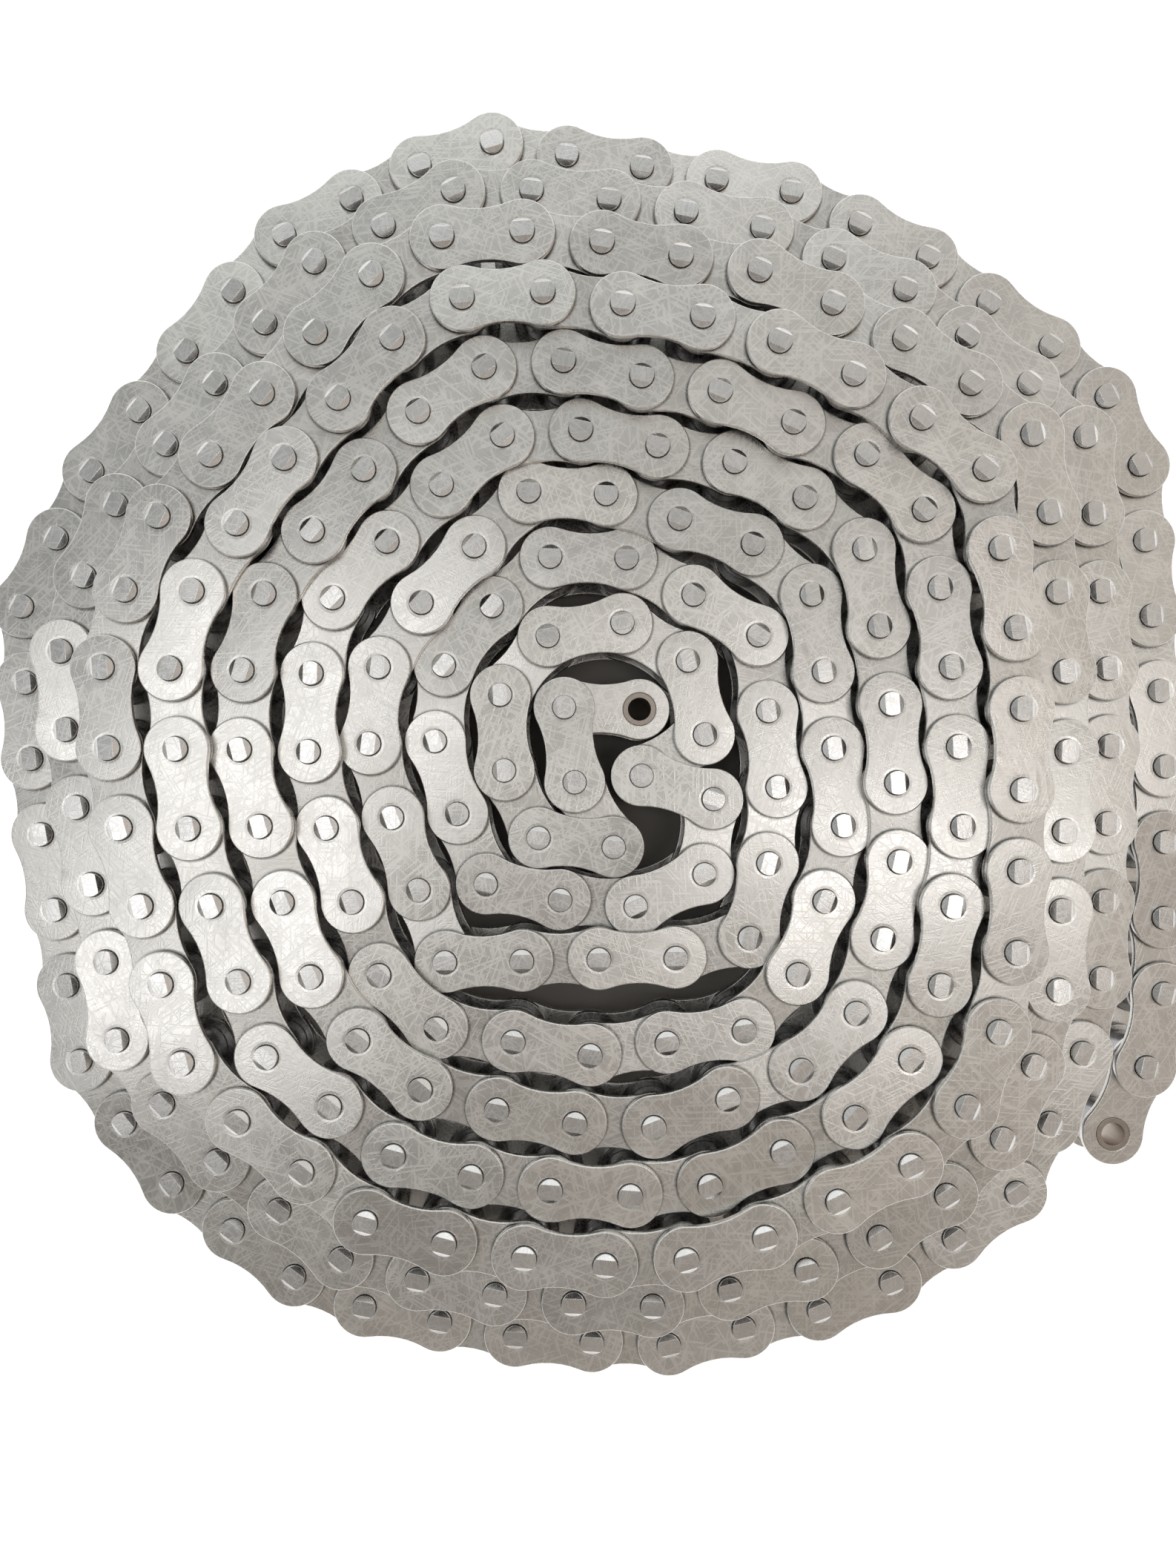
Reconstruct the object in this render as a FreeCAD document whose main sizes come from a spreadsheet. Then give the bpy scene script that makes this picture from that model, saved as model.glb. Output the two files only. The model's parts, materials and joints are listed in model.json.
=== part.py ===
import FreeCAD, Part

# Simplex roller chain of 19.05 mm pitch, lying coiled on a flat surface.
#
# The chain is one line of links, inner and outer by turns, and it begins and ends with an inner
# link.  An inner link is two plates pressed on two bushings, each with a loose roller; an outer
# link is two plates pressed on two pins.  Every pin stands upright (+Z).  The coil is wound from
# its middle outward, clockwise seen from above, and each turn stands higher or lower than the one
# inside it, so that its plates reach in between the plates of that turn.
#
# Frame: +Z up, origin at the centre of the coil's footprint, on the surface it lies on.

import math
import os

import Sketcher

doc = FreeCAD.newDocument("roller_chain")

# ---------------------------------------------------------------- driving dimensions

sheet = doc.addObject("Spreadsheet::Sheet", "dimensions")
DIMENSIONS = [
    ("pitch", 19.05),
    ("roller_diameter", 12.07),
    ("inner_width", 11.68),            # between the plates of an inner link
    ("plate_thickness", 1.85),
    ("plate_height", 15.5),
    ("waist_height", 12.4),            # plate height half-way between its holes
    ("pin_diameter", 5.72),
    ("pin_length", 22.7),
    ("head_band", 3.5),                # flat strip left between the slopes of a pin's end
    ("head_slope", 0.9),               # how far those slopes reach down the pin
    ("bushing_diameter", 8.3),
    ("pin_clearance", 0.025),          # radial, pin in bushing
    ("roller_clearance", 0.04),        # radial, bushing in roller
    ("roller_end_play", 0.18),         # along the bushing, both ends together
    ("side_play", 0.32),               # inner link to outer plate, each side
    ("link_count", 271),
    ("height_step", 0.30),             # largest change of height from one link to the next
    ("laying_gap", 0.08),              # least distance between neighbouring turns
    ("turn_height", 4.08),             # one climbing turn above the turn inside it
    ("turn_drop", 8.2),                # one falling turn below the turn inside it
    ("top_turn", 5.2),                 # turns from the core to the highest point
    ("core_reach", 1.8),               # middle to the first full turn, in pitches
    ("turn_spacing", 0.76),            # wanted distance between turns, in pitches
    ("oval_share", 0.45),              # how oval the coil is, in pitches
    ("square_share", 0.23),            # how square the coil is, in pitches
    ("tail_links", 8),                 # links at the outer end that are pieces of their own
    ("core_links", 2),                 # links at the inner end that are pieces of their own
    ("tail_slack", 0.5),               # extra distance to the coil, gained at each tail link
]
for row, (alias, value) in enumerate(DIMENSIONS, start=1):
    sheet.set(f"A{row}", alias)
    sheet.set(f"B{row}", str(value))
    sheet.setAlias(f"B{row}", alias)
doc.recompute()


def size(alias):
    return float(sheet.get(alias))


PITCH = size("pitch")
PLATE_END = size("plate_height") / 2
ROLLER = size("roller_diameter") / 2
LINK_COUNT = int(size("link_count"))
TAIL_LINKS = int(size("tail_links"))
CORE_LINKS = int(size("core_links"))
OUTER_GAP = size("inner_width") + 2 * size("plate_thickness") + 2 * size("side_play")
# A neighbour's plates pass the plates on one side of a link from this height difference...
PASSING_GAP = 0.03
PLATES_PASS = OUTER_GAP / 2 + size("plate_thickness") - size("inner_width") / 2 + PASSING_GAP
# ...and stay between its two inner plates up to this one.
PLATES_INSIDE = size("inner_width") - size("laying_gap")

# ---------------------------------------------------------------- how the chain lies

# Direction of each link of the tangled core, in degrees from +X, from the free end outward.
FREE_END = (0.5, 0.94)                 # where its first joint lies, in pitches
CORE_HEADINGS = [179, 278, 301, 173, 117, 93, 51, 10, -30, -77, -147, -18, -97]
SHARPEST_TURN = 78                     # one joint's sharpest bend in the wound turns, in degrees
WIDEST_TURN = 60                       # the furthest that a joint bends outward there
NEIGHBOURHOOD = 80                     # links nearer than this along X and Y can touch
FORM_STARTS = 1.2                      # turns after which the coil's shape is steered
WIDENING = 0.25                        # turns over which the spacing opens before the top
WIDE_TURNS = 0.7                       # turns past the top where the plates can't pass
SPREAD_STEP = 0.2                      # how fast the spacing opens from joint to joint, of 1
SLACK_LEAD = 5                         # links before the tail that already gain its slack
HEIGHT_LEAD = 0.05                     # turns by which the climb runs ahead of the winding

# The coil's form, in pitches, as waves round the middle.
FULL_FORM_TURNS = 5                    # turns over which the oval and square grow to full size
MIDDLE_SHIFT = (0.075, 0.116)          # the core lies off the middle by this much
OVAL_SLANT = 0.089
THREE_SIDES = 0.12
OVAL_GROWTH = 0.1
SQUARE_START = 0.06


def waist_radius():
    """Radius of the hollow side of a plate, tangent to its two round ends."""
    half = size("waist_height") / 2
    return ((PITCH / 2) ** 2 + half ** 2 - PLATE_END ** 2) / (2 * (PLATE_END - half))


WAIST_RADIUS = waist_radius()
WAIST_CENTRE = size("waist_height") / 2 + WAIST_RADIUS


def step_from(point, heading):
    """The next joint: one pitch from point in the direction heading."""
    angle = math.radians(heading)
    return (point[0] + PITCH * math.cos(angle), point[1] + PITCH * math.sin(angle))


def outline_distance(point, start, end):
    """Distance from point to the outline of the plate that joins start to end."""
    along_x = (end[0] - start[0]) / PITCH
    along_y = (end[1] - start[1]) / PITCH
    off_x = point[0] - start[0]
    off_y = point[1] - start[1]
    along = off_x * along_x + off_y * along_y
    across = abs(off_y * along_x - off_x * along_y)
    to_ends = min(math.hypot(along, across), math.hypot(along - PITCH, across)) - PLATE_END
    from_mid = along - PITCH / 2
    below = WAIST_CENTRE - across
    if below > 0 and abs(from_mid) <= below * (PITCH / 2) / WAIST_CENTRE:
        return WAIST_RADIUS - math.hypot(from_mid, below)
    return to_ends


def disc_radius(height_difference, spread):
    """How near a neighbour's plates may come to a joint: its roller, or the plate's own end."""
    if PLATES_PASS < height_difference < PLATES_INSIDE:
        return ROLLER + (PLATE_END - ROLLER) * spread
    return PLATE_END


def smooth_step(value):
    value = max(0.0, min(1.0, value))
    return value * value * (3 - 2 * value)


def spread_at(turns):
    """0 where turns may interlock, 1 where they stand side by side."""
    top = size("top_turn")
    if turns > top + WIDE_TURNS:
        return 0.0
    return smooth_step((turns - (top - WIDENING)) / WIDENING)


def wanted_height(turns):
    """Height above the lowest link: a ring-shaped mound, low in the middle and at the rim."""
    top = size("top_turn")
    if turns < 1:
        return size("turn_height") * 2
    if turns < top:
        return size("turn_height") * (turns + HEIGHT_LEAD)
    return max(0.0, size("turn_height") * top - size("turn_drop") * (turns - top))


def form_distance(heading, turns):
    """Distance from the middle to the wanted line of chain that runs in direction heading."""
    facing = math.radians(heading + 90)
    grown = min(1.0, (turns + 1) / FULL_FORM_TURNS)
    oval = size("oval_share") - OVAL_GROWTH + OVAL_GROWTH * grown
    square = SQUARE_START + (size("square_share") - SQUARE_START) * grown
    reach = size("core_reach") + size("turn_spacing") * turns
    reach += MIDDLE_SHIFT[1] * math.sin(facing) - MIDDLE_SHIFT[0] * math.cos(facing)
    reach -= oval * math.cos(2 * facing) + OVAL_SLANT * math.sin(2 * facing)
    reach -= THREE_SIDES * math.sin(3 * facing)
    reach -= square * math.cos(4 * facing)
    return reach * PITCH


def wind_chain():
    """Lays the links one by one, each turned inward as far as the links already laid let it."""
    joints = [(FREE_END[0] * PITCH, FREE_END[1] * PITCH)]
    headings = list(CORE_HEADINGS)
    for heading in headings:
        joints.append(step_from(joints[-1], heading))
    heights = [0.0] * len(headings)
    spread = 0.0
    slack = 0.0
    step = size("height_step")
    laying_gap = size("laying_gap")
    first_tail = LINK_COUNT - TAIL_LINKS

    while len(headings) < LINK_COUNT:
        index = len(headings)
        start = joints[-1]
        turns = (CORE_HEADINGS[-1] - headings[-1]) / 360
        rise = max(-step, min(step, wanted_height(turns) - heights[-1]))
        height = heights[-1] + rise
        spread_before = min(spread, spread_at(turns))
        spread = min(spread + SPREAD_STEP, spread_at(turns))
        slack_before = slack
        slack = size("tail_slack") * max(0, index - first_tail + SLACK_LEAD)
        near = []
        for other in range(index - 1):
            a, b = joints[other], joints[other + 1]
            if max(abs(a[0] - start[0]), abs(a[1] - start[1])) < NEIGHBOURHOOD:
                inside_turn = other < index - TAIL_LINKS
                near.append((a, b, abs(height - heights[other]), inside_turn))

        def clear(a, b, spread_a, spread_b, slack_a, slack_b):
            for c, d, difference, inside_turn in near:
                gap_a = disc_radius(difference, spread_a) + laying_gap + slack_a * inside_turn
                gap_b = disc_radius(difference, spread_b) + laying_gap + slack_b * inside_turn
                gap_c = gap_a - min(slack_a, size("tail_slack")) * inside_turn
                if (outline_distance(a, c, d) < gap_a or outline_distance(b, c, d) < gap_b
                        or outline_distance(c, a, b) < gap_c
                        or outline_distance(d, a, b) < gap_c):
                    return False
            return True

        heading = None
        for bend in range(-SHARPEST_TURN, WIDEST_TURN):
            trial = headings[-1] + bend
            if bend < 0 and turns >= FORM_STARTS:
                facing = math.radians(trial + 90)
                reach = start[0] * math.cos(facing) + start[1] * math.sin(facing)
                if reach < form_distance(trial, turns):
                    continue
            end = step_from(start, trial)
            if not clear(start, end, spread_before, spread, slack_before, slack):
                continue
            if clear(end, step_from(end, trial), spread, spread, slack_before, slack):
                heading = trial
                break
        if heading is None:
            raise RuntimeError(f"link {index} has no room")
        headings.append(heading)
        joints.append(step_from(start, heading))
        heights.append(height)
    return joints, headings, heights


JOINTS, HEADINGS, HEIGHTS = wind_chain()
xs = [joint[0] for joint in JOINTS]
ys = [joint[1] for joint in JOINTS]
MIDDLE = ((min(xs) + max(xs)) / 2, (min(ys) + max(ys)) / 2)
INNER_LINKS = range(0, LINK_COUNT, 2)
OUTER_LINKS = range(1, LINK_COUNT, 2)
COIL_LINKS = range(CORE_LINKS, LINK_COUNT - TAIL_LINKS)

# ---------------------------------------------------------------- placing the pieces


def placement(joint, link, level):
    """At a joint, turned to a link's direction, level above that link's middle plane."""
    turn = FreeCAD.Rotation(FreeCAD.Vector(0, 0, 1), HEADINGS[link])
    x = JOINTS[joint][0] - MIDDLE[0]
    y = JOINTS[joint][1] - MIDDLE[1]
    z = HEIGHTS[link] + size("pin_length") / 2 + level
    return FreeCAD.Placement(FreeCAD.Vector(x, y, z), turn)


INNER_UPPER = size("inner_width") / 2
INNER_LOWER = -INNER_UPPER - size("plate_thickness")
OUTER_UPPER = OUTER_GAP / 2
OUTER_LOWER = -OUTER_UPPER - size("plate_thickness")
BUSHING_BASE = INNER_LOWER
ROLLER_BASE = -(size("inner_width") - size("roller_end_play")) / 2
PIN_BASE = -size("pin_length") / 2

# ---------------------------------------------------------------- the kinds of piece

NODES = []


def keep(node):
    NODES.append(node)
    return node


def origin_plane(body, role):
    for feature in body.Origin.OriginFeatures:
        if feature.Role == role:
            return feature
    raise RuntimeError(f"no {role}")


def plate(label, hole):
    """A link plate on its lower face, from its hole at the origin along +X to its other hole."""
    body = doc.addObject("PartDesign::Body", label)
    body.Label = label
    sketch = body.newObject("Sketcher::SketchObject", label + "_outline")
    sketch.AttachmentSupport = [(origin_plane(body, "XY_Plane"), "")]
    sketch.MapMode = "FlatFace"
    up = FreeCAD.Vector(0, 0, 1)
    spread = math.atan2(WAIST_CENTRE, PITCH / 2)
    near = FreeCAD.Vector(0, 0, 0)
    far = FreeCAD.Vector(PITCH, 0, 0)
    above = FreeCAD.Vector(PITCH / 2, WAIST_CENTRE, 0)
    below = FreeCAD.Vector(PITCH / 2, -WAIST_CENTRE, 0)
    right = math.pi / 2
    arcs = [
        (near, PLATE_END, spread, 2 * math.pi - spread),
        (below, WAIST_RADIUS, spread, math.pi - spread),
        (far, PLATE_END, spread - math.pi, math.pi - spread),
        (above, WAIST_RADIUS, math.pi + spread, 2 * math.pi - spread),
    ]
    for centre, radius, start, end in arcs:
        sketch.addGeometry(Part.ArcOfCircle(Part.Circle(centre, up, radius), start, end), False)
    for centre in (near, far):
        sketch.addGeometry(Part.Circle(centre, up, size("pin_diameter") / 2), False)
    rule = Sketcher.Constraint
    sketch.addConstraint([
        rule("Coincident", 0, 3, -1, 1),
        rule("PointOnObject", 2, 3, -1),
        rule("Coincident", 4, 3, 0, 3),
        rule("Coincident", 5, 3, 2, 3),
        rule("Tangent", 0, 1, 3, 1),
        rule("Tangent", 0, 2, 1, 2),
        rule("Tangent", 1, 1, 2, 1),
        rule("Tangent", 2, 2, 3, 2),
        rule("Equal", 0, 2),
        rule("Equal", 1, 3),
        rule("Equal", 4, 5),
    ])
    for name, constraint, value in (
        ("pitch", rule("DistanceX", 0, 3, 2, 3, PITCH), "dimensions.pitch"),
        ("end", rule("Radius", 0, PLATE_END), "dimensions.plate_height / 2"),
        ("waist", rule("Radius", 1, WAIST_RADIUS), WAIST_RULE),
        ("hole", rule("Radius", 4, size("pin_diameter") / 2), f"dimensions.{hole} / 2"),
    ):
        index = sketch.addConstraint(constraint)
        sketch.renameConstraint(index, name)
        sketch.setExpression("Constraints." + name, value)
    pad = body.newObject("PartDesign::Pad", label + "_pad")
    pad.Profile = sketch
    pad.setExpression("Length", "dimensions.plate_thickness")
    return body


WAIST_RULE = (
    "((dimensions.pitch / 2)^2 + (dimensions.waist_height / 2)^2"
    " - (dimensions.plate_height / 2)^2)"
    " / (dimensions.plate_height - dimensions.waist_height)"
)


def cylinder(label, diameter, length):
    """A cylinder on its lower end; diameter and length are rules on the sheet."""
    shape = doc.addObject("Part::Cylinder", label)
    shape.Label = label
    shape.setExpression("Radius", f"({diameter}) / 2")
    shape.setExpression("Height", length)
    return shape


def ring(label, diameter, bore, length):
    """A tube on its lower end."""
    cut = doc.addObject("Part::Cut", label)
    cut.Label = label
    cut.Base = cylinder(label + "_outside", diameter, length)
    cut.Tool = cylinder(label + "_bore", bore, length)
    return cut


def bushing(label):
    return ring(
        label,
        "dimensions.bushing_diameter",
        "dimensions.pin_diameter + 2 * dimensions.pin_clearance",
        "dimensions.inner_width + 2 * dimensions.plate_thickness",
    )


def roller(label):
    return ring(
        label,
        "dimensions.roller_diameter",
        "dimensions.bushing_diameter + 2 * dimensions.roller_clearance",
        "dimensions.inner_width - dimensions.roller_end_play",
    )


def pin(label):
    """A pin on its lower end, each end pressed to a flat band along X with a slope on each side."""
    half = size("pin_diameter") / 2
    band = size("head_band") / 2
    slope = size("head_slope")
    top = size("pin_length")
    beyond = 1                         # how far what is cut away reaches outside the pin
    body = doc.addObject("PartDesign::Body", label)
    body.Label = label
    section = body.newObject("Sketcher::SketchObject", label + "_section")
    section.AttachmentSupport = [(origin_plane(body, "XY_Plane"), "")]
    section.MapMode = "FlatFace"
    centre = FreeCAD.Vector(0, 0, 0)
    section.addGeometry(Part.Circle(centre, FreeCAD.Vector(0, 0, 1), half), False)
    section.addConstraint(Sketcher.Constraint("Coincident", 0, 3, -1, 1))
    index = section.addConstraint(Sketcher.Constraint("Radius", 0, half))
    section.renameConstraint(index, "shank")
    section.setExpression("Constraints.shank", "dimensions.pin_diameter / 2")
    pad = body.newObject("PartDesign::Pad", label + "_pad")
    pad.Profile = section
    pad.setExpression("Length", "dimensions.pin_length")
    corners = body.newObject("Sketcher::SketchObject", label + "_corners")
    corners.AttachmentSupport = [(origin_plane(body, "YZ_Plane"), "")]
    corners.MapMode = "FlatFace"
    for side in (-1, 1):
        for end, inward in ((0, 1), (top, -1)):
            points = [
                FreeCAD.Vector(side * band, end, 0),
                FreeCAD.Vector(side * half, end + inward * slope, 0),
                FreeCAD.Vector(side * (half + beyond), end + inward * slope, 0),
                FreeCAD.Vector(side * (half + beyond), end - inward * beyond, 0),
                FreeCAD.Vector(side * band, end - inward * beyond, 0),
            ]
            for first, second in zip(points, points[1:] + points[:1]):
                corners.addGeometry(Part.LineSegment(first, second), False)
    pocket = body.newObject("PartDesign::Pocket", label + "_slopes")
    pocket.Profile = corners
    pocket.Type = "ThroughAll"
    pocket.Midplane = True
    return body


# ---------------------------------------------------------------- the links at both ends


def set_down(piece, joint, link, level):
    piece.Placement = placement(joint, link, level)
    return keep(piece)


def single_link(name, link, free_joint, other_joint):
    """One end link whose every piece is a node of its own; a is its end towards the free end."""
    joints = (("a", free_joint), ("b", other_joint))
    if link % 2 == 0:
        set_down(plate(name + "_upper_plate", "bushing_diameter"), link, link, INNER_UPPER)
        set_down(plate(name + "_lower_plate", "bushing_diameter"), link, link, INNER_LOWER)
        for end, joint in joints:
            set_down(bushing(f"{name}_bushing_{end}"), joint, link, BUSHING_BASE)
            set_down(roller(f"{name}_roller_{end}"), joint, link, ROLLER_BASE)
    else:
        set_down(plate(name + "_upper_plate", "pin_diameter"), link, link, OUTER_UPPER)
        set_down(plate(name + "_lower_plate", "pin_diameter"), link, link, OUTER_LOWER)
        for end, joint in joints:
            set_down(pin(f"{name}_pin_{end}"), joint, link, PIN_BASE)


for number in range(1, CORE_LINKS + 1):
    single_link(f"core_link_{number}", number - 1, number - 1, number)
for number in range(1, TAIL_LINKS + 1):
    last = LINK_COUNT - number
    single_link(f"tail_link_{number}", last, last + 1, last)
doc.recompute()

# ---------------------------------------------------------------- the coil between them


def group(label, pattern, places):
    """One node of many equal pieces, each a copy of a single piece of the tail."""
    shape = doc.getObject(pattern).Shape.copy()
    shape.Placement = FreeCAD.Placement()
    pieces = []
    for place in places:
        piece = shape.copy()
        piece.Placement = place
        pieces.append(piece)
    node = doc.addObject("Part::Feature", label)
    node.Label = label
    node.Shape = Part.makeCompound(pieces)
    keep(node)


inner = [link for link in COIL_LINKS if link in INNER_LINKS]
outer = [link for link in COIL_LINKS if link in OUTER_LINKS]
for side, level in (("upper", INNER_UPPER), ("lower", INNER_LOWER)):
    places = [placement(link, link, level) for link in inner]
    group(f"coil_inner_plates_{side}", "tail_link_1_upper_plate", places)
for side, level in (("upper", OUTER_UPPER), ("lower", OUTER_LOWER)):
    places = [placement(link, link, level) for link in outer]
    group(f"coil_outer_plates_{side}", "tail_link_2_upper_plate", places)
ends = [(joint, link) for link in inner for joint in (link, link + 1)]
bushings = [placement(joint, link, BUSHING_BASE) for joint, link in ends]
group("coil_bushings", "tail_link_1_bushing_a", bushings)
rollers = [placement(joint, link, ROLLER_BASE) for joint, link in ends]
group("coil_rollers", "tail_link_1_roller_a", rollers)
pins = [placement(joint, link, PIN_BASE) for link in outer for joint in (link, link + 1)]
group("coil_pins", "tail_link_2_pin_a", pins)
doc.recompute()

# ---------------------------------------------------------------- checks and files

for item in doc.Objects:
    if "Invalid" in item.State or "Error" in item.State:
        raise RuntimeError(f"{item.Name} failed: {item.State}")
for node in NODES:
    if node.Shape.isNull() or not node.Shape.isValid():
        raise RuntimeError(f"{node.Label} has no valid shape")

os.makedirs("parts", exist_ok=True)
for node in NODES:
    node.Shape.exportStep(f"parts/{node.Label}.step")
solids = sum(len(node.Shape.Solids) for node in NODES)
print(len(NODES), "nodes,", solids, "solids,", LINK_COUNT, "links")
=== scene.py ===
import json
import math

import bmesh
import bpy
import numpy as np
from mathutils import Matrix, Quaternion, Vector


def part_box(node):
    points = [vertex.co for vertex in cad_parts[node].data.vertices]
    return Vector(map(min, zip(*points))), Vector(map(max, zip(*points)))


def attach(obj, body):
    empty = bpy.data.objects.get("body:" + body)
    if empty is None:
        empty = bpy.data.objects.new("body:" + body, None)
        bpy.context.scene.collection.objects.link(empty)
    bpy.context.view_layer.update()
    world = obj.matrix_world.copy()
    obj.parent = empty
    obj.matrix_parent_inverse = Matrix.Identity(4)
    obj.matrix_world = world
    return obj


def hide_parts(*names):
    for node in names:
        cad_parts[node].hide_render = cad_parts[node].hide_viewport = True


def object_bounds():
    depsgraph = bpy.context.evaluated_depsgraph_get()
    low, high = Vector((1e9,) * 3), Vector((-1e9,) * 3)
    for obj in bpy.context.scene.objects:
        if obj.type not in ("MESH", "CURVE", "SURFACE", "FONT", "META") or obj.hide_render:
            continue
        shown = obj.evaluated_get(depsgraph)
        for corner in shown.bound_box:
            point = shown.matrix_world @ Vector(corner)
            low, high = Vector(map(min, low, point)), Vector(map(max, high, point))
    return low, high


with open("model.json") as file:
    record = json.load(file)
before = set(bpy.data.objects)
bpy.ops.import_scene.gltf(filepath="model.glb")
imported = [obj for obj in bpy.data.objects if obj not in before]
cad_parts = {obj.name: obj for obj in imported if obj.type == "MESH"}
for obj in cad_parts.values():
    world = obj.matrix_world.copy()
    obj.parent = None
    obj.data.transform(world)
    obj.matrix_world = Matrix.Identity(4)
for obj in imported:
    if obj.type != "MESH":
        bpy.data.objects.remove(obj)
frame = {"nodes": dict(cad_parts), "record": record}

MM = 0.001
CAD_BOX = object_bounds()


# ---------------------------------------------------------------------------
# Sizes read from the frame

def node_size(name):
    """Length, width and height of one CAD node's box, in metres."""
    low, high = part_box(name)
    return Vector(high) - Vector(low)


PIN_RADIUS = min(node_size("core_link_2_pin_a")[:2]) / 2
COIL_TOP = CAD_BOX[1].z
COIL_CENTRE = (CAD_BOX[0] + CAD_BOX[1]) / 2
EDGE_ROUNDING = {"plate": 0.32 * MM, "pin": 0.07 * MM, "bushing": 0.12 * MM, "roller": 0.45 * MM}
FLAT_ANGLE = math.radians(0.5)      # neighbouring faces that turn less than this are made one
SHARP_ANGLE = math.radians(35)      # edges that turn more than this are rounded
WELD_DISTANCE = 1e-6                # vertices nearer than this, in metres, are made one
FLAT_FACE_WEIGHT = 100              # how strongly large faces set the shading normals beside them


# ---------------------------------------------------------------------------
# Pieces: a welded, rounded copy of each CAD node, with values for its finish

def kind_of(name):
    """plate, pin, bushing or roller."""
    return next(kind for kind in EDGE_ROUNDING if kind in name)


def islands(mesh):
    """The island number of every vertex: one island for each separate solid."""
    count = len(mesh.vertices)
    edges = np.empty(len(mesh.edges) * 2, dtype=np.int64)
    mesh.edges.foreach_get("vertices", edges)
    first, second = edges[0::2], edges[1::2]
    label = np.arange(count)
    while True:
        lowest = np.minimum(label[first], label[second])
        new = label.copy()
        np.minimum.at(new, first, lowest)
        np.minimum.at(new, second, lowest)
        new = new[new]
        if np.array_equal(new, label):
            break
        label = new
    return np.unique(label, return_inverse=True)[1]


def vertex_places(mesh):
    """An array of the vertices' positions."""
    flat = np.empty(len(mesh.vertices) * 3, dtype=np.float64)
    mesh.vertices.foreach_get("co", flat)
    return flat.reshape(-1, 3)


def finish_values(places, number, seed):
    """Per vertex: the place in its own solid's length and width, and a random number for each solid."""
    local = np.zeros_like(places)
    chance = np.random.default_rng(seed).random(number.max() + 1)
    order = np.argsort(number, kind="stable")
    starts = np.searchsorted(number[order], np.arange(number.max() + 2))
    for solid in range(number.max() + 1):
        mine = order[starts[solid]:starts[solid + 1]]
        own = places[mine]
        low, high = own.min(axis=0), own.max(axis=0)
        flat = own[:, :2] - own[:, :2].mean(axis=0)
        length = np.linalg.eigh(flat.T @ flat)[1][:, 1]
        across = np.array([-length[1], length[0]])
        middle = np.array([(flat @ axis).max() + (flat @ axis).min() for axis in (length, across)]) / 2
        local[mine, 0] = flat @ length - middle[0]
        local[mine, 1] = flat @ across - middle[1]
        local[mine, 2] = own[:, 2] - (low[2] + high[2]) / 2
    return local, chance[number]


def rounded_copy(name, seed):
    """A new piece that stands for the CAD node, with its sharp edges rounded."""
    node = frame["nodes"][name]
    kind = kind_of(name)
    mesh = node.data.copy()
    shape = bmesh.new()
    shape.from_mesh(mesh)
    bmesh.ops.remove_doubles(shape, verts=shape.verts, dist=WELD_DISTANCE)
    bmesh.ops.dissolve_limit(shape, angle_limit=FLAT_ANGLE, verts=shape.verts, edges=shape.edges)
    sharp = [edge for edge in shape.edges if edge.calc_face_angle(0.0) > SHARP_ANGLE]
    bmesh.ops.bevel(shape, geom=sharp, offset=EDGE_ROUNDING[kind], segments=2, profile=0.5,
                    affect="EDGES", clamp_overlap=True)
    shape.to_mesh(mesh)
    shape.free()
    places = vertex_places(mesh)
    local, chance = finish_values(places, islands(mesh), seed)
    mesh.attributes.new("local", "FLOAT_VECTOR", "POINT").data.foreach_set("vector", local.ravel())
    mesh.attributes.new("chance", "FLOAT", "POINT").data.foreach_set("value", chance)
    mesh.materials.clear()
    mesh.materials.append(MATERIALS[finish_of(name)])
    mesh.shade_smooth()
    piece = bpy.data.objects.new(name + "_finished", mesh)
    bpy.context.collection.objects.link(piece)
    flat_faces = piece.modifiers.new("flat_faces", "WEIGHTED_NORMAL")
    flat_faces.weight = FLAT_FACE_WEIGHT
    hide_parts(name)
    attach(piece, body_of_node(name))


def finish_of(name):
    """The finish of a CAD node; the first and last link's plates have one end that nothing covers."""
    kind = kind_of(name)
    if kind != "plate":
        return kind
    link = name.rsplit("_", 2)[0]
    if "outer" in name or link + "_pin_a" in frame["nodes"]:
        return "outer_plate"
    return "end_plate" if link in ("core_link_1", "tail_link_1") else "inner_plate"


def body_of_node(name):
    """The CAD body that a node belongs to."""
    bodies = frame["record"]["behaviour"]["bodies"]
    return next(body for body, nodes in bodies.items() if name in nodes)


# ---------------------------------------------------------------------------
# Materials: noise scales are in bumps to the metre, tone changes in parts of the metal's own tone

NOISE_RANGE = (0.3, 0.7)
CLOUD_SCALE = 120.0                 # soft patches, on tone and roughness
CLOUD_TONE = 0.035
CLOUD_ROUGHNESS = 0.03
GRAIN_SCALE = 2600.0                # the finest texture
GRAIN_TONE = 0.015
GRAIN_DEPTH = 0.25                  # its height, in scratch depths
BRUSHING_SCALE = (140.0, 4200.0)    # along and across the brushing, which lies another way on each solid
BRUSHING_TONE = 0.07
BRUSHING_TURNS = 37.0               # radians over the whole range of chance, so that any direction comes up
SOLID_TONE = 0.06                   # how much lighter or darker a whole solid may be
SCRATCH_SCALE = (150.0, 1900.0)     # along and across a scratch
SCRATCH_EDGE = 0.06
SCRATCH_ROUGHNESS = 0.06
SCRATCH_DIRECTIONS = ((0.35, 0.60), (1.25, 0.62), (1.95, 0.62), (2.75, 0.62))    # radians, noise level
PIN_CREVICE_PAINTED_SHADE = -0.85                # painted shade: the dark line where shade falls in the crevice round a pin, from and to these parts of its radius
CREVICE_REACH = (1.02, 1.12)
HOLLOW_DEPTH = 0.03 * MM            # the pressed ring round a pin, from the crevice outward
HOLLOW_REACH = (1.12, 1.30)
OUTER_END_PAINTED_SHADOW = -0.60                # painted shadow: the dark line that an outer plate's end casts where it lies on an inner plate
COVERED_REACH = (1.01, 1.08)


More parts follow.
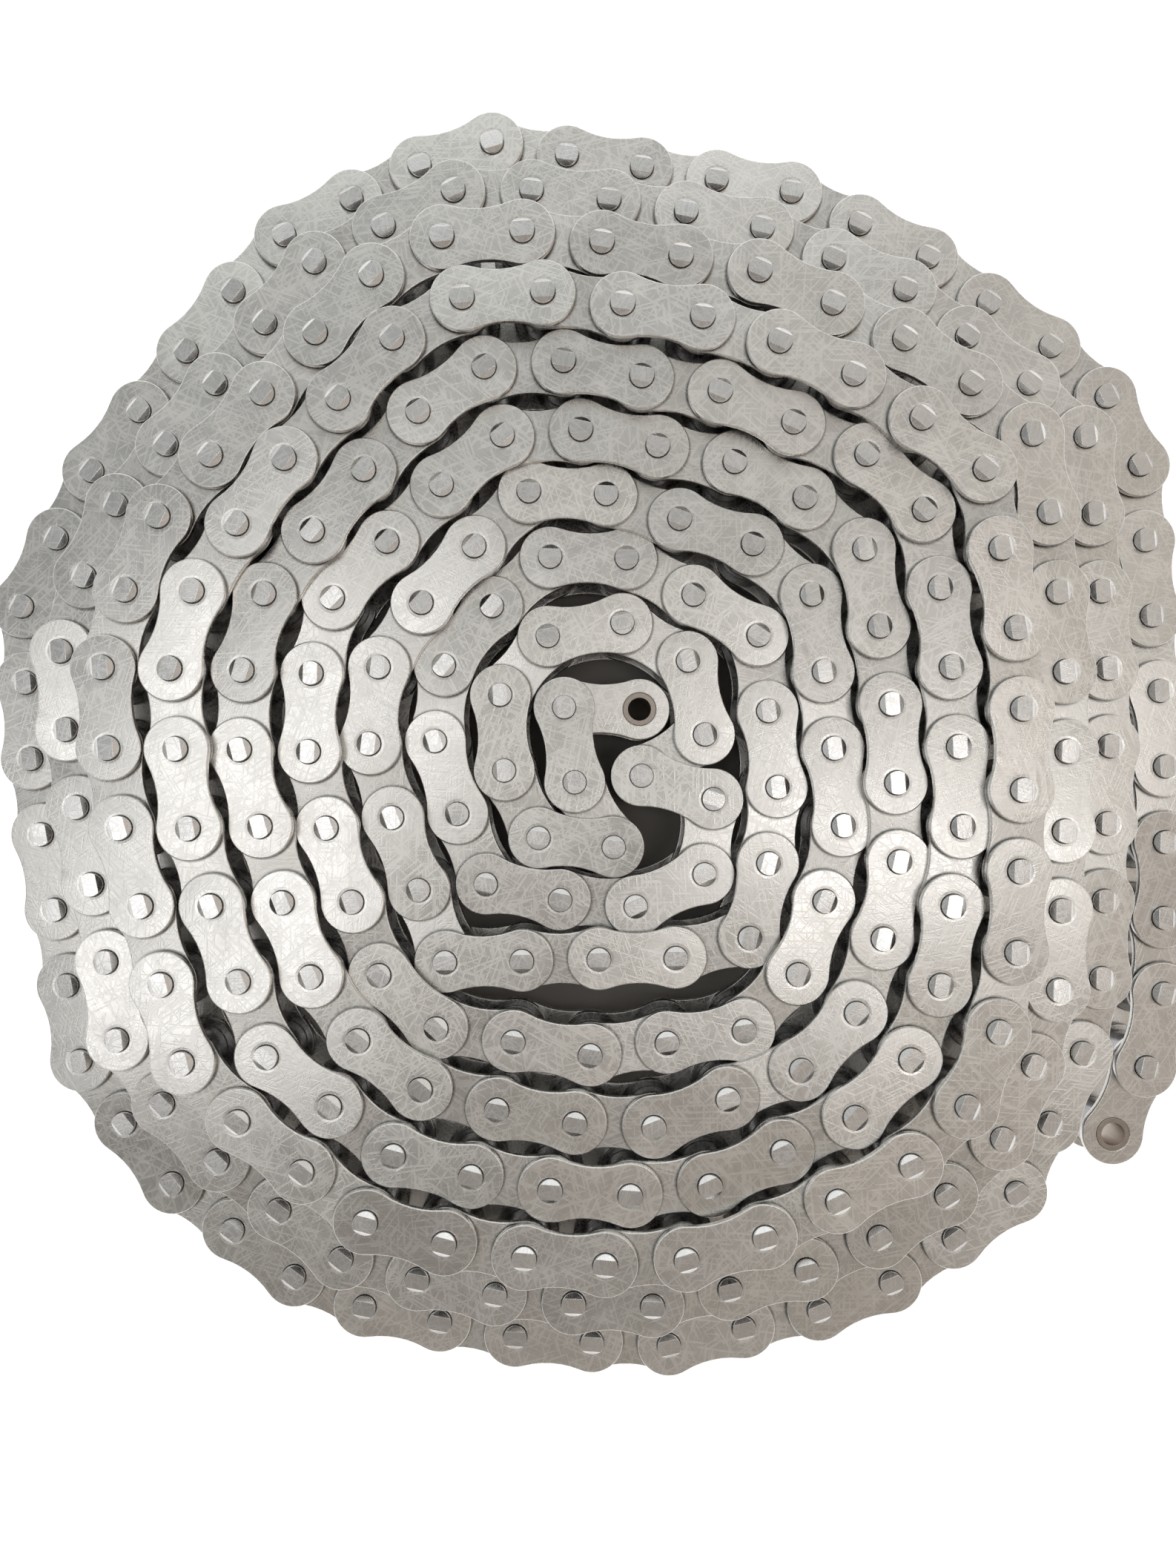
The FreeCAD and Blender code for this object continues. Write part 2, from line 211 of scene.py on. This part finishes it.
class Shading:
    """A small helper that adds shader nodes to one node tree and links them."""

    def __init__(self, owner, shader):
        owner.use_nodes = True
        self.tree = owner.node_tree
        self.shader = self.tree.nodes[shader]

    def add(self, kind, inputs=None, **settings):
        """A new shader node with its settings and its inputs."""
        node = self.tree.nodes.new(kind)
        for key, value in settings.items():
            setattr(node, key, value)
        for key, value in (inputs or {}).items():
            self.set(node, key, value)
        return node

    def set(self, node, key, value):
        """Give an input a plain value or link another node's output to it."""
        if isinstance(value, bpy.types.NodeSocket):
            self.tree.links.new(value, node.inputs[key])
        else:
            node.inputs[key].default_value = value

    def value(self, attribute, output):
        """A value that the mesh holds for each vertex."""
        return self.add("ShaderNodeAttribute", attribute_name=attribute).outputs[output]

    def maths(self, operation, first, second=0.0, third=0.0):
        """The result of one operation on numbers."""
        node = self.add("ShaderNodeMath", operation=operation)
        for key, value in enumerate((first, second, third)):
            self.set(node, key, value)
        return node.outputs[0]

    def total(self, first, *others):
        """The sum of several values."""
        for other in others:
            first = self.maths("ADD", first, other)
        return first

    def vector(self, operation, first, second=(0.0, 0.0, 0.0)):
        """The result of one operation on vectors."""
        node = self.add("ShaderNodeVectorMath", operation=operation)
        self.set(node, 0, first)
        if operation == "SCALE":
            self.set(node, "Scale", second)
        else:
            self.set(node, 1, second)
        return node.outputs["Value" if operation in ("LENGTH", "DOT_PRODUCT") else "Vector"]

    def spread(self, value, low, high, to_low, to_high):
        """A value's range from low to high moved to another range, and held at its ends."""
        node = self.add("ShaderNodeMapRange", {"Value": value})
        for key, number in (("From Min", low), ("From Max", high), ("To Min", to_low), ("To Max", to_high)):
            self.set(node, key, number)
        return node.outputs["Result"]

    def sway(self, noise, low, high):
        """Noise moved from the range where nearly all of it lies to another range."""
        return self.spread(noise, *NOISE_RANGE, low, high)

    def noise(self, vector, scale, detail=2.0, roughness=0.5):
        """Soft noise from 0 to 1, with scale bumps to the metre."""
        inputs = {"Vector": vector, "Scale": scale, "Detail": detail, "Roughness": roughness}
        return self.add("ShaderNodeTexNoise", inputs).outputs["Fac"]

    def blend(self, factor, first, second):
        """A colour between two others."""
        node = self.add("ShaderNodeMix", data_type="RGBA")
        self.set(node, 0, factor)
        self.set(node, 6, first)
        self.set(node, 7, second)
        return node.outputs[2]


def scratches(shading, spot, turn, cut):
    """Short straight scratches that all lie one way: 1 in a scratch and 0 beside it."""
    lines = shading.noise(stretched(shading, spot, turn, *SCRATCH_SCALE), 1.0, 0.0)
    return shading.spread(lines, cut, cut + SCRATCH_EDGE, 0.0, 1.0)


def stretched(shading, spot, turn, length_scale, width_scale):
    """A place turned by an angle and scaled so that noise read there comes out as straight lines."""
    turned = shading.add("ShaderNodeVectorRotate", {"Vector": spot, "Angle": turn}, rotation_type="Z_AXIS")
    return shading.vector("MULTIPLY", turned.outputs[0], (length_scale, width_scale, length_scale))


def tilted_normal(shading, chance, amount):
    """The surface normal leaned a little, another way on every solid, as loose plates lie."""
    random = shading.add("ShaderNodeTexWhiteNoise", {"W": chance}, noise_dimensions="1D").outputs["Color"]
    lean = shading.vector("SCALE", shading.vector("SUBTRACT", random, (0.5, 0.5, 0.5)), amount)
    normal = shading.add("ShaderNodeNewGeometry").outputs["Normal"]
    return shading.vector("NORMALIZE", shading.vector("ADD", normal, lean))


def hole_distance(shading, place):
    """How far a point of a plate is from the axis of its nearer hole."""
    parts = shading.add("ShaderNodeSeparateXYZ", {"Vector": place})
    along = shading.maths("SUBTRACT", shading.maths("ABSOLUTE", parts.outputs["X"]), PITCH / 2)
    flat = shading.add("ShaderNodeCombineXYZ", {"X": along, "Y": parts.outputs["Y"], "Z": 0.0}).outputs[0]
    return shading.vector("LENGTH", flat)


def steel(name, tone, roughness, lean, scratch_depth, marks=0.12, plate=None):
    """Bare steel: small tone changes, short scratches every way and a slight lean of each solid; on plates,
    painted shade round a pin or a painted shadow of an outer plate's end.
    """
    material = bpy.data.materials.new(name)
    shading = Shading(material, "Principled BSDF")
    place = shading.value("local", "Vector")
    chance = shading.value("chance", "Fac")
    offset = shading.add("ShaderNodeCombineXYZ", {"X": chance, "Y": chance, "Z": chance}).outputs[0]
    spot = shading.vector("ADD", place, offset)
    cloud = shading.noise(spot, CLOUD_SCALE)
    grain = shading.noise(spot, GRAIN_SCALE)
    any_way = shading.spread(chance, 0.0, 1.0, 0.0, BRUSHING_TURNS)
    brushing = shading.noise(stretched(shading, spot, any_way, *BRUSHING_SCALE), 1.0, 1.0)
    lines = 0.0
    for turn, cut in SCRATCH_DIRECTIONS:
        lines = shading.maths("MAXIMUM", lines, scratches(shading, spot, turn, cut))
    tone_change = shading.total(shading.sway(cloud, -CLOUD_TONE, CLOUD_TONE),
                                shading.sway(grain, -GRAIN_TONE, GRAIN_TONE),
                                shading.sway(brushing, -BRUSHING_TONE, BRUSHING_TONE),
                                shading.spread(chance, 0.0, 1.0, -SOLID_TONE, SOLID_TONE),
                                shading.maths("MULTIPLY", lines, marks))
    height = shading.total(shading.maths("MULTIPLY", lines, -scratch_depth),
                           shading.maths("MULTIPLY", grain, GRAIN_DEPTH * scratch_depth))
    if plate == "inner":
        # painted shadow: the dark line that an outer plate's end casts on the inner plate
        near, far = [PLATE_END * reach for reach in COVERED_REACH]
        outer_end_shadow = shading.spread(hole_distance(shading, place), near, far, OUTER_END_PAINTED_SHADOW, 0.0)
        tone_change = shading.total(tone_change, outer_end_shadow)
    if plate == "outer":
        away = hole_distance(shading, place)
        # painted shade: a dark line in the crevice round the pin
        near, far = [PIN_RADIUS * reach for reach in CREVICE_REACH]
        tone_change = shading.total(tone_change, shading.spread(away, near, far, PIN_CREVICE_PAINTED_SHADE, 0.0))
        near, far = [PIN_RADIUS * reach for reach in HOLLOW_REACH]
        height = shading.total(height, shading.spread(away, near, far, -HOLLOW_DEPTH, 0.0))
    colour = shading.vector("SCALE", tone, shading.total(tone_change, 1.0))
    shading.set(shading.shader, "Base Color", colour)
    shading.shader.inputs["Metallic"].default_value = 1.0
    rough = shading.total(shading.sway(cloud, roughness - CLOUD_ROUGHNESS, roughness + CLOUD_ROUGHNESS),
                          shading.maths("MULTIPLY", lines, SCRATCH_ROUGHNESS))
    shading.set(shading.shader, "Roughness", rough)
    bump = shading.add("ShaderNodeBump", {"Height": height, "Distance": 1.0, "Strength": 1.0,
                                          "Normal": tilted_normal(shading, chance, lean)})
    shading.set(shading.shader, "Normal", bump.outputs["Normal"])
    return material


def centre_of(name):
    """The middle of a CAD node's box."""
    low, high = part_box(name)
    return (Vector(low) + Vector(high)) / 2


PITCH = (centre_of("core_link_2_pin_a") - centre_of("core_link_2_pin_b")).length
PLATE_END = (max(node_size("core_link_1_upper_plate")) - PITCH) / 2
PLATE_FINISH = {"roughness": 0.27, "lean": 0.12, "scratch_depth": 0.006 * MM}
INNER_TONE = (0.71, 0.695, 0.67)
OUTER_TONE = (0.74, 0.725, 0.70)
FINE_SCRATCH = {"scratch_depth": 0.003 * MM, "marks": 0.03}
MATERIALS = {
    "inner_plate": steel("inner_plate_steel", INNER_TONE, **PLATE_FINISH, plate="inner"),
    "outer_plate": steel("outer_plate_steel", OUTER_TONE, **PLATE_FINISH, plate="outer"),
    "end_plate": steel("end_plate_steel", INNER_TONE, **PLATE_FINISH),
    "pin": steel("pin_steel", (0.76, 0.75, 0.74), roughness=0.24, lean=0.08, **FINE_SCRATCH),
    "bushing": steel("bushing_steel", (0.42, 0.37, 0.33), roughness=0.30, lean=0.02, **FINE_SCRATCH),
    "roller": steel("roller_steel", (0.36, 0.36, 0.37), roughness=0.20, lean=0.02, **FINE_SCRATCH),
}

for node_number, node_name in enumerate(sorted(frame["nodes"])):
    rounded_copy(node_name, node_number)


# ---------------------------------------------------------------------------
# Floor, light and camera

WHITE = (1.0, 1.0, 1.0, 1.0)
FLOOR_HALF = 12.0
FLOOR_DROP = 0.2 * MM               # how far the floor lies below the coil's lowest pins
FLOOR_PALE = (0.90, 0.90, 0.90, 1.0)
# painted shade: the darker colour of the floor under the coil
FLOOR_PAINTED_SHADE = (0.30, 0.28, 0.26, 1.0)
FLOOR_GLOW = 0.75
SHADED_REACH = (0.72, 0.92)         # where the floor's painted shade under the coil turns pale, in parts of the coil's half width
ROOM_COOL = (0.98, 1.0, 0.98, 1.0)
ROOM_WARM = (1.0, 0.90, 0.80, 1.0)
BACKDROP_STRENGTH = 0.9             # the pale wall low down all round
BACKDROP_EDGE = (0.28, 0.45)        # where it ends, as the height of a direction of length 1
NEAR_STRENGTH = 0.42                # above the backdrop, on the -Y side
FAR_STRENGTH = 1.15                 # above the backdrop, on the +Y side
FAR_EDGE = (0.2, 0.8)
CEILING_EDGE = (0.15, 0.80)
CEILING_STRENGTHS = (0.33, 0.46)    # straight above, a little to -Y and a little to +Y
CEILING_BORDER = (-0.16, 0.12)
CEILING_SLOPE = 0.26                # how much brighter it is towards +X
LAMP_HEIGHT = 1.0
SENSOR_WIDTH = 36.0
LENS_LENGTH = 27.06
NEAREST_SEEN = 0.01
CAMERA_SHIFT = (-0.002, -0.011)     # the camera's place from the coil's centre
CAMERA_RISE = 0.274                 # and above its highest pins


def plain_floor():
    """A pale matt floor with painted shade under the coil, which glows a little outside the coil so that it
    stays pale there.
    """
    mesh = bpy.data.meshes.new("floor")
    half = FLOOR_HALF
    corners = [(x, y, -FLOOR_DROP) for x, y in ((-half, -half), (half, -half), (half, half), (-half, half))]
    mesh.from_pydata(corners, [], [(0, 1, 2, 3)])
    floor = bpy.data.objects.new("floor", mesh)
    bpy.context.collection.objects.link(floor)
    material = bpy.data.materials.new("floor_white")
    shading = Shading(material, "Principled BSDF")
    shading.shader.inputs["Roughness"].default_value = 0.9
    shading.shader.inputs["Emission Color"].default_value = WHITE
    place = shading.add("ShaderNodeNewGeometry").outputs["Position"]
    reach = shading.vector("LENGTH", place)
    radius = (CAD_BOX[1] - CAD_BOX[0]).x / 2
    near, far = [radius * part for part in SHADED_REACH]
    outside = shading.spread(reach, near, far, 0.0, 1.0)
    # painted shade: the floor's colour darkens under the coil
    tone = shading.blend(outside, FLOOR_PAINTED_SHADE, FLOOR_PALE)
    shading.set(shading.shader, "Base Color", tone)
    glow = shading.maths("MULTIPLY", outside, FLOOR_GLOW)
    shading.set(shading.shader, "Emission Strength", glow)
    floor.data.materials.append(material)


def soft_box(name, place, width, height, power, colour=(1.0, 1.0, 1.0), turn=0.0):
    """A rectangular studio light at place, pointed at the coil and turned about its own axis."""
    light = bpy.data.lights.new(name, "AREA")
    light.shape = "RECTANGLE"
    light.size = width
    light.size_y = height
    light.energy = power
    light.color = colour
    lamp = bpy.data.objects.new(name, light)
    bpy.context.collection.objects.link(lamp)
    lamp.location = place
    lamp.rotation_mode = "QUATERNION"
    pointed = (-Vector(place)).to_track_quat("-Z", "Y")
    lamp.rotation_quaternion = pointed @ Quaternion((0.0, 0.0, 1.0), turn)


def surroundings():
    """A room that is dim overhead and pale low down all round, cool on one side and warm on the other."""
    world = bpy.data.worlds.new("room")
    bpy.context.scene.world = world
    shading = Shading(world, "Background")
    facing = shading.add("ShaderNodeTexCoord").outputs["Generated"]
    parts = shading.add("ShaderNodeSeparateXYZ", {"Vector": facing})
    side = shading.maths("SUBTRACT", parts.outputs["X"], parts.outputs["Y"])
    warmth = shading.spread(side, -0.5, 0.5, 0.0, 1.0)
    colour = shading.blend(warmth, ROOM_COOL, ROOM_WARM)
    backdrop = shading.spread(parts.outputs["Z"], *BACKDROP_EDGE, 1.0, 0.0)
    shading.set(shading.shader, "Color", shading.blend(backdrop, colour, WHITE))
    far_side = shading.spread(parts.outputs["Y"], *FAR_EDGE, 0.0, 1.0)
    horizon = shading.spread(far_side, 0.0, 1.0, NEAR_STRENGTH, FAR_STRENGTH)
    height = shading.spread(parts.outputs["Z"], *CEILING_EDGE, 0.0, 1.0)
    overhead = shading.spread(parts.outputs["Y"], *CEILING_BORDER, *CEILING_STRENGTHS)
    overhead = shading.maths("MULTIPLY_ADD", parts.outputs["X"], CEILING_SLOPE, overhead)
    strength = shading.maths("MULTIPLY_ADD", height, shading.maths("SUBTRACT", overhead, horizon), horizon)
    paler = shading.maths("SUBTRACT", BACKDROP_STRENGTH, strength)
    strength = shading.maths("MULTIPLY_ADD", backdrop, paler, strength)
    shading.set(shading.shader, "Strength", strength)


def overhead_camera():
    """A camera straight above the coil, near enough for the upper turns to look larger."""
    lens = bpy.data.cameras.new("camera")
    camera = bpy.data.objects.new("camera", lens)
    bpy.context.collection.objects.link(camera)
    lens.sensor_width = SENSOR_WIDTH
    lens.lens = LENS_LENGTH
    lens.clip_start = NEAREST_SEEN
    side, back = CAMERA_SHIFT
    camera.location = (COIL_CENTRE.x + side, COIL_CENTRE.y + back, COIL_TOP + CAMERA_RISE)
    bpy.context.scene.camera = camera


def plain_colours():
    """Show colours as they are, without a film-like curve, so that the pale floor stays white."""
    bpy.context.scene.view_settings.view_transform = "Standard"


plain_floor()
surroundings()
soft_box("right_box", (0.30, -0.05, LAMP_HEIGHT), 0.15, 0.28, 0.46)
soft_box("left_box", (-0.37, -0.06, LAMP_HEIGHT), 0.24, 0.52, 0.72, turn=math.radians(37))
soft_box("far_box", (-0.1, 0.9, 0.9), 1.0, 0.4, 0.9, (0.97, 1.0, 1.0))
overhead_camera()
plain_colours()
